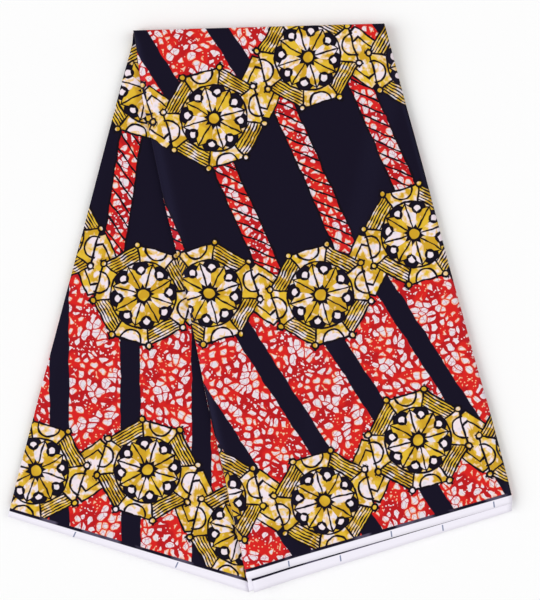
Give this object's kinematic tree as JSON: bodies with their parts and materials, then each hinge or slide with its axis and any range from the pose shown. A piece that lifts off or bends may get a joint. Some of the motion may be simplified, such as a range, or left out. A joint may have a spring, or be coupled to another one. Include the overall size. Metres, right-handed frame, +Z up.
{
  "type": "folded printed cotton cloth",
  "caption": "Length of printed cotton cloth, doubled, pleated into a strip and laid flat as two fanned leaves under one top fold.",
  "frame": {"origin": "on the surface the cloth lies on, under the middle of its bounding box", "axes": "+Z up out of the cloth, +Y towards the top fold, +X to the right as seen from above with the top fold at the top"},
  "size_m": [0.558, 0.6272, 0.0148],
  "materials": {
    "layered_cotton": "matt folded cotton edges",
    "left_print": "crisp matt printed cotton",
    "right_print": "crisp matt printed cotton",
    "under_selvedge": "plain white cotton selvedge"
  },
  "bodies": {
    "root": {"hidden_layers": "layered_cotton", "left_leaf": "left_print", "right_leaf": "right_print", "right_under_ply": "under_selvedge"}
  },
  "joints": []
}
